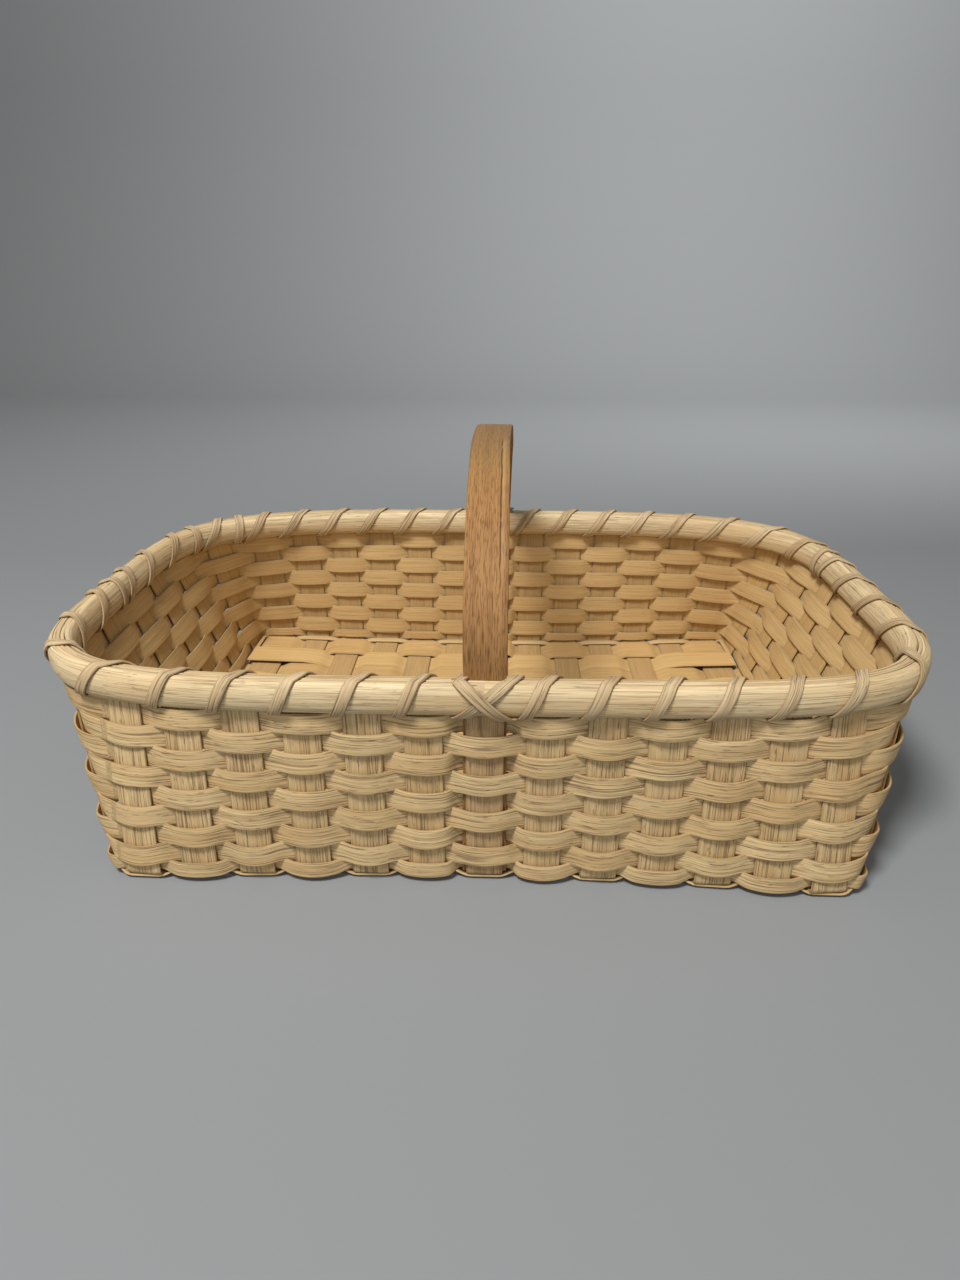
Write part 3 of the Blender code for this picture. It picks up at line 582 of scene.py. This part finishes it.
def stakes_round():
    """(kind, index, side, number) of the stakes, anticlockwise from the left of the front.

    The numbers are odd and even in turn all the way round, and only the handle's two stakes have number 0.
    """
    cross, long = range(-CROSS_LAST, CROSS_LAST + 1), range(-LONG_LAST, LONG_LAST + 1)
    return ([("cross", k, -1, k) for k in cross] + [("long", j, 1, 10 - j) for j in long]
            + [("cross", k, 1, k) for k in cross[::-1]] + [("long", j, -1, 10 - j) for j in long[::-1]])


def eased_between(here, following, steps, grow=0.0):
    """Rows from one crossing's end to the next one's start, each given as (point, run, out, up, spread)."""
    rows = []
    reach = np.linalg.norm(following[0] - here[0])
    pull = reach * (1.0 if np.dot(here[1], following[1]) > 0.9 else 1.14)
    for t in np.linspace(0, 1, steps)[1:-1]:
        a, b = 2 * t ** 3 - 3 * t * t + 1, t ** 3 - 2 * t * t + t
        c, d = -2 * t ** 3 + 3 * t * t, t ** 3 - t * t
        point = here[0] * a + here[1] * pull * b + following[0] * c + following[1] * pull * d
        e = t * t * (3 - 2 * t)
        rows.append((point, here[2] * (1 - t) + following[2] * t, here[3] * (1 - t) + following[3] * t,
                     here[4] * (1 - e) + following[4] * e + grow * math.sin(math.pi * t)))
    return rows


def squared(spine):
    """The same closed spine, facing square to the way it runs."""
    rows = []
    for place, (point, _, up, spread) in enumerate(spine):
        run = spine[(place + 1) % len(spine)][0] - spine[place - 1][0]
        rows.append((point, np.cross(run, up), up, spread))
    return rows


def woven_round(row):
    """Spine rows of a ring that passes outside a stake where row plus number is even, and bulges there."""
    bottom = LOWEST_EDGE + (ROWS - row) * ROW_PITCH
    crossings = []
    for kind, index, side, number in stakes_round():
        outside = (row + number) % 2 == 0
        lap = LAP_OUTSIDE if outside else LAP_INSIDE
        low, high, offset = bottom - lap, bottom + ROW_WIDTH + lap, WEAVE
        edge, half, arch = max(low, LOWEST_OUTSIDE), STAKE_WIDTH / 2 + OVERRUN, hand.uniform(*ARCH)
        sag = hand.uniform(*SAG) + (FOOT_SAG * (1 - share_up(low)) if row < ROWS else 0.0)
        if not outside:
            edge, arch, sag = max(low, LOWEST_INSIDE), arch * INSIDE_ARCH, sag * INSIDE_SAG
            if number == 0:
                offset += LEG_BACK - REED / 2
                half = HANDLE_WIDTH / 2 + 2 * OVERRUN
        middle = (low + high) / 2
        centre, out, up, aside = stand(*stake_place(kind, index, side, middle), middle)
        centre = centre + up * ((edge + high) / 2 - centre[2]) / up[2]
        sign = 1 if outside else -1
        crossings.append((centre, out, up, aside, sign * offset, half, sign * arch, sag, (high - edge) / up[2]))
    spine, ends = [], []
    for centre, out, up, aside, offset, half, arch, sag, wide in crossings:
        grown = wide / ROW_WIDTH
        passing = []
        for t in np.linspace(-1, 1, 9):
            rise = 1 - t * t
            point = centre + aside * half * t + out * (offset + arch * rise) - up * sag * rise
            passing.append((point, out, up, grown + SWELL_OVER * rise))
        slopes = [aside - out * 2 * arch * t / half + up * 2 * sag * t / half for t in (-1, 1)]
        ends.append((passing, slopes))
    for (passing, slopes), (following, next_slopes) in zip(ends, ends[1:] + ends[:1]):
        spine += passing
        last, first = passing[-1], following[0]
        spine += eased_between((last[0], slopes[1], *last[1:]), (first[0], next_slopes[0], *first[1:]), 8,
                               SWELL_BETWEEN)
    return squared(spine)


for row in range(1, ROWS + 1):
    piece = swept(f"Wall_row_{row}", [woven_round(row)], row_reed, ROW_WIDTH, ROW_FRONT, ROW_BACK,
                  squareness=6.0, points=20, closed=True, strand=3 * row)
    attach(piece, "root")
    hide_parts(f"weaver_row_{row}")

# Locking row
# One narrow ring of the same reed at the edge of the floor, woven before the first wall row. It goes under
# the bend of one stake and over the next, and shows inside as a thin pale strip across the floor's corners.
LOCK_WIDTH, LOCK_END_WIDTH, LOCK_HALF_THICK = 0.0038, 0.0022, ROW_THICK * 0.45
LOCK_CLIMB = 0.0012         # how far it rises at the floor's corners
LOCK_ROOM = 0.0005          # left between it and the floor and wall
UNDER_TILT, OVER_TILT = math.radians(24), math.radians(12)
UNDER_WIDTH, UNDER_HALF = 0.7, 0.36         # shares of its own width, and of the stake's, under a bend


def locking_round():
    """Spine rows of the narrow ring at the edge of the floor: under one stake's bend, over the next one's."""
    ends = []
    for kind, index, side, number in stakes_round():
        x, y = stake_place(kind, index, side, WALL_FOOT)
        level = outward(x, y, WALL_FOOT)
        aside = np.cross([0, 0, 1.0], level)
        under = number % 2 == 0
        wide = (LOCK_WIDTH if kind == "cross" else LOCK_END_WIDTH) * (UNDER_WIDTH if under else 1.0)
        half = STAKE_WIDTH * (UNDER_HALF if under else 0.5) + OVERRUN
        if under:
            tilt = UNDER_TILT
            away = BEND + REED / 2 + LOCK_HALF_THICK
            centre = np.array([x, y, WALL_FOOT]) - level * (BEND - away * math.sin(tilt))
            centre[2] -= away * math.cos(tilt)
        else:
            tilt = OVER_TILT
            centre = np.array([x, y, FLOOR + REED / 2 + CLEAR + ROW_THICK / 2 + LOCK_ROOM])
            centre -= level * (BEND * 0.45 + wide / 2 + LOCK_ROOM)
        lie = level * math.cos(tilt) + np.array([0, 0, math.sin(tilt)])
        down = level * math.sin(tilt) - np.array([0, 0, math.cos(tilt)])
        passing = [(centre + aside * half * t, down, lie, wide / LOCK_WIDTH) for t in np.linspace(-1, 1, 5)]
        if kind == "long" and abs(index) == LONG_LAST:
            corner = 1 if index * side > 0 else -1
            passing = [(point + np.array([0, 0, LOCK_CLIMB * (1 + corner * t) / 2]), *rest)
                       for t, (point, *rest) in zip(np.linspace(-1, 1, 5), passing)]
        ends.append((passing, aside))
    spine = []
    for (passing, aside), (following, next_aside) in zip(ends, ends[1:] + ends[:1]):
        spine += passing
        last, first = passing[-1], following[0]
        spine += eased_between((last[0], aside, *last[1:]), (first[0], next_aside, *first[1:]), 7)
    return squared(spine)


lock_reed = reed_finish("Locking row reed", (0.64, 0.48, 0.27), (0.46, 0.33, 0.17), (0.18, 0.11, 0.055),
                        edge_width=0.005, dark_share=0.4, seed=80)
piece = swept("Locking_row", [locking_round()], lock_reed, LOCK_WIDTH, LOCK_HALF_THICK, LOCK_HALF_THICK,
              squareness=4.0, points=12, closed=True)
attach(piece, "root")
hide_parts("locking_row")

# Rim
# Two bands of half-round reed clamp the stake tops between their flat faces. Strands of thin reed fill
# the slot between them, and lie on top of the stakes.
rim_reed = reed_finish("Rim band reed", (0.72, 0.57, 0.345), (0.50, 0.37, 0.20), (0.18, 0.11, 0.055),
                       edge_width=0.017, dark_share=0.6, rough=0.55, seed=100)
strand_reed = reed_finish("Rim strand reed", (0.66, 0.515, 0.31), (0.45, 0.33, 0.18), (0.20, 0.125, 0.065),
                          edge_width=0.0019, dark_share=0.6, seed=120)
BAND_HEIGHT, BAND_DEPTH, BAND_BACK = 0.0140, 0.0036, 0.00004
RIM_MIDDLE = (RIM_LOW + RIM_HIGH) / 2
OUTER_SEAT = WEAVE + ROW_THICK / 2 + CLEAR  # from the stakes' middle to the flat backs of both bands
INNER_SEAT = LEG_BACK + CLEAR


def rim_path(count):
    """Places evenly round the rim from the middle of its front, its length, and its frame at a place."""
    turns = np.linspace(-math.pi / 2, math.pi * 1.5, 4001)
    a, b, front = wall_outline(RIM_MIDDLE, -1)
    power = np.where(np.sin(turns) < 0, front, wall_outline(RIM_MIDDLE, 1)[2])
    xs = a * np.sign(np.cos(turns)) * np.abs(np.cos(turns)) ** (2 / power)
    ys = b * np.sign(np.sin(turns)) * np.abs(np.sin(turns)) ** (2 / power)
    lengths = np.concatenate([[0], np.cumsum(np.hypot(np.diff(xs), np.diff(ys)))])
    places = np.linspace(0, lengths[-1], count, endpoint=False)
    return places, lengths[-1], lambda p: stand(np.interp(p % lengths[-1], lengths, xs),
                                               np.interp(p % lengths[-1], lengths, ys), RIM_MIDDLE)


places, rim_length, rim_frame = rim_path(count=420)
for name, node, side, seat in (("Outer_band", "rim_band_outer", 1, OUTER_SEAT),
                               ("Inner_band", "rim_band_inner", -1, INNER_SEAT)):
    spine = []
    for place in places:
        centre, out, up, aside = rim_frame(place)
        spine.append((centre + out * side * seat, out * side, up))
    piece = swept(name, [spine], rim_reed, BAND_HEIGHT, BAND_DEPTH, BAND_BACK, squareness=2.15, points=32,
                  closed=True, crease=60)
    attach(piece, "root")
    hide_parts(node)

# Two strands run all the way round. The innermost one is in two halves, from one leg of the handle to the other.
STRAND = 0.0018
WANDER, WAVES = 0.0002, 55
by_leg = HANDLE_WIDTH / 2 + STRAND
whole = np.append(places, rim_length)
right_half = whole[(whole > by_leg) & (whole < rim_length / 2 - by_leg)]
left_half = whole[(whole > rim_length / 2 + by_leg) & (whole < rim_length - by_leg)]
strands = []
for shift, rise, phase, run in ((-0.0018, -0.0002, 0.0, right_half), (-0.0018, -0.0002, 1.0, left_half),
                                (-0.0001, 0.0, 2.0, whole), (0.0015, -0.0002, 4.0, whole)):
    spine = []
    for place in run:
        centre, out, up, aside = rim_frame(place)
        wander = WANDER * math.sin(place * WAVES + phase)
        point = centre + out * (shift + wander) + up * (BAND_HEIGHT / 2 - STRAND * 0.45 + rise)
        spine.append((point, up, out))
    strands.append(spine)
piece = swept("Rim_strands", strands, strand_reed, STRAND, STRAND / 2, STRAND / 2, squareness=2.3, points=10)
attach(piece, "root")
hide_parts("rim_filler")

# Lashing
# One long narrow reed, soaked and wound round both bands. It goes through the wall in every gap between
# the stakes and leans one way on the outside. A tie crosses it over each leg of the handle.
lash_reed = reed_finish("Lashing reed", (0.60, 0.46, 0.275), (0.40, 0.285, 0.155), (0.15, 0.09, 0.045),
                        edge_width=0.0050, dark_share=0.8, rough=0.55, seed=140, coarse=1.1)
LASH_WIDTH, LASH_THICK = 0.0051, 0.0010
LASH_FRONT, LASH_BACK = LASH_THICK * 0.55, LASH_THICK * 0.45
LASH_NECK = (CROSS_PITCH - (STAKE_WIDTH + HANDLE_WIDTH) / 2 - 4 * CLEAR) / 2    # its width inside the wall
NECK_IN_GAP = (CROSS_PITCH - STAKE_WIDTH) / 2 - CLEAR - LASH_NECK / 2
LASH_SLACK, LASH_HUG = 0.0002, 0.98         # how far it stands off the bands, and how much it hugs their bellies
TURN_TOP = 0.38             # the share of a turn's slant that lies on the outer band
DOUBLED = (17, 32, 33, 36)  # gaps round the two ends that the lashing goes through twice


def rim_place(kind, index, side):
    """How far round the rim a stake stands."""
    x, y = stake_place(kind, index, side, RIM_MIDDLE)
    spots = np.array([rim_frame(p)[0][:2] for p in places])
    nearest = int(np.argmin(((spots - (x, y)) ** 2).sum(1)))
    near = np.linspace(places[nearest] - 0.003, places[nearest] + 0.003, 61)
    spots = np.array([rim_frame(p)[0][:2] for p in near])
    return near[int(np.argmin(((spots - (x, y)) ** 2).sum(1)))] % rim_length


def round_the_bands(lift=0.0):
    """(share, out, up, facing out, facing up, spread) once round both bands, from the outer one's foot on."""
    rows = []
    wide = BAND_DEPTH + CLEAR + LASH_THICK / 2 + LASH_SLACK
    tall = BAND_HEIGHT / 2 + CLEAR + LASH_THICK / 2
    for side, seat in ((1, OUTER_SEAT), (-1, INNER_SEAT)):
        part = []
        for angle in np.radians([-88, -78, -66, -52, -36, -18, 0, 18, 36, 52, 66, 78]):
            raised = lift * max(0.0, math.cos(angle)) ** 0.5 if side > 0 else 0.0
            normal = np.array([math.cos(angle) / wide, math.sin(angle) / tall])
            normal /= np.linalg.norm(normal)
            spot = np.array([seat + wide * math.cos(angle) * LASH_HUG, tall * math.sin(angle)]) + normal * raised
            grown = min(1.0, 0.6 + (math.degrees(angle) + 88) / 30)
            part.append((side * spot[0], spot[1], side * normal[0], normal[1],
                         (LASH_NECK + (LASH_WIDTH - LASH_NECK) * grown) / LASH_WIDTH))
        rows += part if side > 0 else part[::-1]
    lengths = [0.0]
    for first, second in zip(rows, rows[1:]):
        lengths.append(lengths[-1] + math.hypot(second[0] - first[0], second[1] - first[1]))
    return [(length / lengths[-1], *row) for length, row in zip(lengths, rows)]


stakes = [(number, rim_place(kind, index, side)) for kind, index, side, number in stakes_round()]
gaps = []
for place, (number, spot) in enumerate(stakes):
    next_number, following = stakes[(place + 1) % len(stakes)]
    middle = spot + ((following - spot) % rim_length) / 2
    if place in DOUBLED:
        gaps += [(middle - LASH_NECK, False), (middle + LASH_NECK, False)]
    elif number == 0:
        gaps.append((middle + NECK_IN_GAP, True))
    elif next_number == 0:
        gaps.append((following - HANDLE_WIDTH / 2 - 2 * CLEAR - LASH_NECK / 2, False))
    else:
        gaps.append((middle + NECK_IN_GAP - CLEAR, False))

spine = []
contour = round_the_bands()
for place, (start, _) in enumerate(gaps):
    end, passes = gaps[(place + 1) % len(gaps)]
    span = (end - start) % rim_length
    top = TURN_TOP
    if passes:
        top = 1 - (NECK_IN_GAP + CROSS_PITCH / 2 - HANDLE_WIDTH / 2 - LASH_WIDTH / 2 - 2 * CLEAR) / span
    for share, out_by, up_by, face_out, face_up, spread in contour:
        moved = top * min(1.0, share * 2) if share < 0.5 else top + (1 - top) * (share - 0.5) * 2
        centre, out, up, aside = rim_frame(start + span * moved)
        spine.append((centre + out * out_by + up * up_by, out * face_out + up * face_up, aside, spread))
piece = swept("Rim_lashing", [spine], lash_reed, LASH_WIDTH, LASH_FRONT, LASH_BACK, squareness=3.6, points=12,
              closed=True)
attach(piece, "root")
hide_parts("rim_lashing")

for name, node, side in (("Front_tie", "handle_tie_front", -1), ("Back_tie", "handle_tie_back", 1)):
    leg = rim_place("cross", 0, side)
    low = HANDLE_WIDTH / 2 + CLEAR + LASH_NECK / 2
    high = -(HANDLE_WIDTH / 2 + LASH_WIDTH / 2 + 2 * CLEAR)
    spine = []
    for share, out_by, up_by, face_out, face_up, spread in round_the_bands(LASH_THICK + CLEAR):
        crossed = min(1.0, share * 2) if share < 0.5 else 2 - share * 2
        centre, out, up, aside = rim_frame(leg + low + (high - low) * crossed)
        spine.append((centre + out * out_by + up * up_by, out * face_out + up * face_up, aside, spread))
    piece = swept(name, [spine], lash_reed, LASH_WIDTH, LASH_FRONT, LASH_BACK, squareness=3.6, points=12,
                  closed=True)
    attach(piece, "root")
    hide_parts(node)

# Studio
# A plain pale floor that runs up into a backdrop. A window lamp stands high at the front left, a broad weak
# one fills the front, and a third lights only the backdrop. The camera is where the photographer's was.
PAPER_FRONT, PAPER_BACK, PAPER_HALF, PAPER_HIGH = -2.5, 1.2, 4.0, 4.0
COVE = 0.6                  # radius at which the floor turns up
ground = bpy.data.meshes.new("Ground")
profile = [(PAPER_FRONT, 0.0), (PAPER_BACK, 0.0)]
profile += [(PAPER_BACK + COVE * math.sin(a), COVE - COVE * math.cos(a)) for a in np.radians(np.arange(10, 91, 10))]
profile += [(PAPER_BACK + COVE, PAPER_HIGH)]
corners = [(x, y, z) for y, z in profile for x in (-PAPER_HALF, PAPER_HALF)]
faces = [(2 * i, 2 * i + 1, 2 * i + 3, 2 * i + 2) for i in range(len(profile) - 1)]
ground.from_pydata(corners, [], faces)
ground.shade_smooth()
backdrop = bpy.data.objects.new("Ground", ground)
bpy.context.scene.collection.objects.link(backdrop)
paper = bpy.data.materials.new("Pale paper")
paper.use_nodes = True
tree = paper.node_tree
shader = tree.nodes["Principled BSDF"]
shader.inputs["Base Color"].default_value = (0.225, 0.233, 0.235, 1)
shader.inputs["Roughness"].default_value = 0.9
ground.materials.append(paper)

world = bpy.data.worlds.new("Soft room")
world.use_nodes = True
bpy.context.scene.world = world
world.node_tree.nodes["Background"].inputs["Color"].default_value = (1, 1, 1, 1)
world.node_tree.nodes["Background"].inputs["Strength"].default_value = 0.29

for name, place, aim, size, power in (("Window", (-0.36, -0.62, 1.32), (0.20, 0.60, 0), 0.34, 25.0),
                                      ("Fill", (-0.10, -1.50, 0.75), (0, 0.10, 0.05), 1.0, 4.0),
                                      ("Backdrop", (0.50, 0.60, 1.00), (0.45, 1.60, 0.75), 0.8, 18.0)):
    lamp = bpy.data.lights.new(name, "AREA")
    lamp.energy, lamp.shape, lamp.size = power, "SQUARE", size
    lamp_object = bpy.data.objects.new(name, lamp)
    lamp_object.matrix_world = Matrix.Translation(place) @ (Vector(aim) - Vector(place)).to_track_quat(
        "-Z", "Y").to_matrix().to_4x4()
    bpy.context.scene.collection.objects.link(lamp_object)

SENSOR, FOCAL_PIXELS, PICTURE_HEIGHT = 36, 816, 1280
CAMERA_PLACE, CAMERA_DOWN, CAMERA_LEFT = (0.0070, -0.4012, 0.2505), 25.32, 1.80     # metres and degrees
camera = bpy.data.cameras.new("Camera")
camera.sensor_width = SENSOR
camera.lens = FOCAL_PIXELS * SENSOR / PICTURE_HEIGHT
stood = bpy.data.objects.new("Camera", camera)
stood.location = CAMERA_PLACE
stood.rotation_euler = (math.radians(90 - CAMERA_DOWN), 0, math.radians(CAMERA_LEFT))
camera.clip_start = 0.01
bpy.context.scene.collection.objects.link(stood)
bpy.context.scene.camera = stood
bpy.context.scene.view_settings.view_transform = "Standard"
